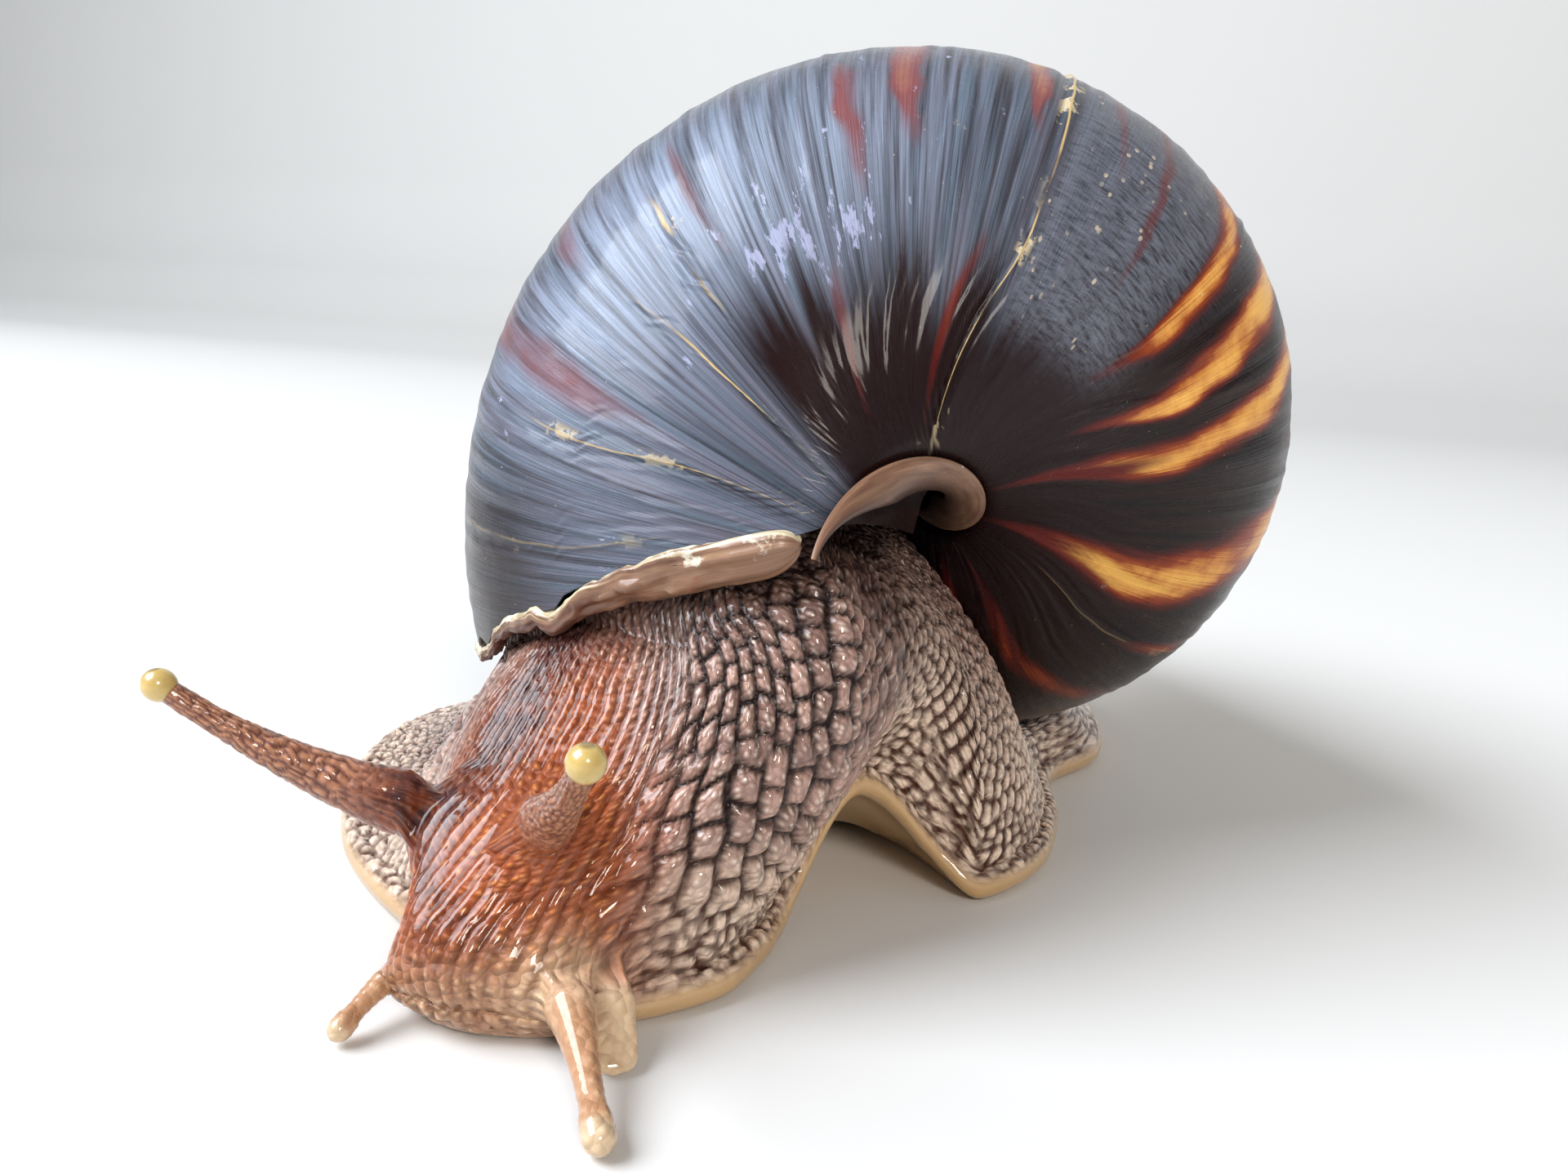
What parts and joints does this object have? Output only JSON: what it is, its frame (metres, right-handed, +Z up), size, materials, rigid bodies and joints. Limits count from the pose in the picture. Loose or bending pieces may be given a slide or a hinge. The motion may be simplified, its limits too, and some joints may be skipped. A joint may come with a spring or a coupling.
{
  "type": "land snail",
  "caption": "Life-size giant African land snail crawling with feelers out, under a glossy dark spiral shell with flame stripes.",
  "frame": {"origin": "middle of the flat sole of the foot, on the floor", "axes": "-Y the way the snail crawls, +X its left side, +Z up"},
  "size_m": [0.0729, 0.1179, 0.0616],
  "materials": {
    "skin": "wet and glossy, rough with tubercles",
    "eye_bulb": "glossy",
    "shell": "glossy, finely ribbed",
    "shell_pale": "satin, chipped"
  },
  "bodies": {
    "root": {"head": "skin", "neck": "skin", "foot_front": "skin", "foot_middle": "skin", "tail": "skin", "upper_tentacle_right_root": "skin", "upper_tentacle_right_tip": "skin", "upper_tentacle_left_root": "skin", "upper_tentacle_left_tip": "skin", "lower_tentacle_right": "skin", "lower_tentacle_left": "skin", "mouth_lappet_right": "skin", "mouth_lappet_left": "skin", "eye_right": "eye_bulb", "eye_left": "eye_bulb", "shell_body_whorl": "shell", "shell_upper_whorl": "shell", "shell_spire": "shell", "shell_lip": "shell_pale", "shell_columella": "shell_pale"}
  },
  "joints": []
}
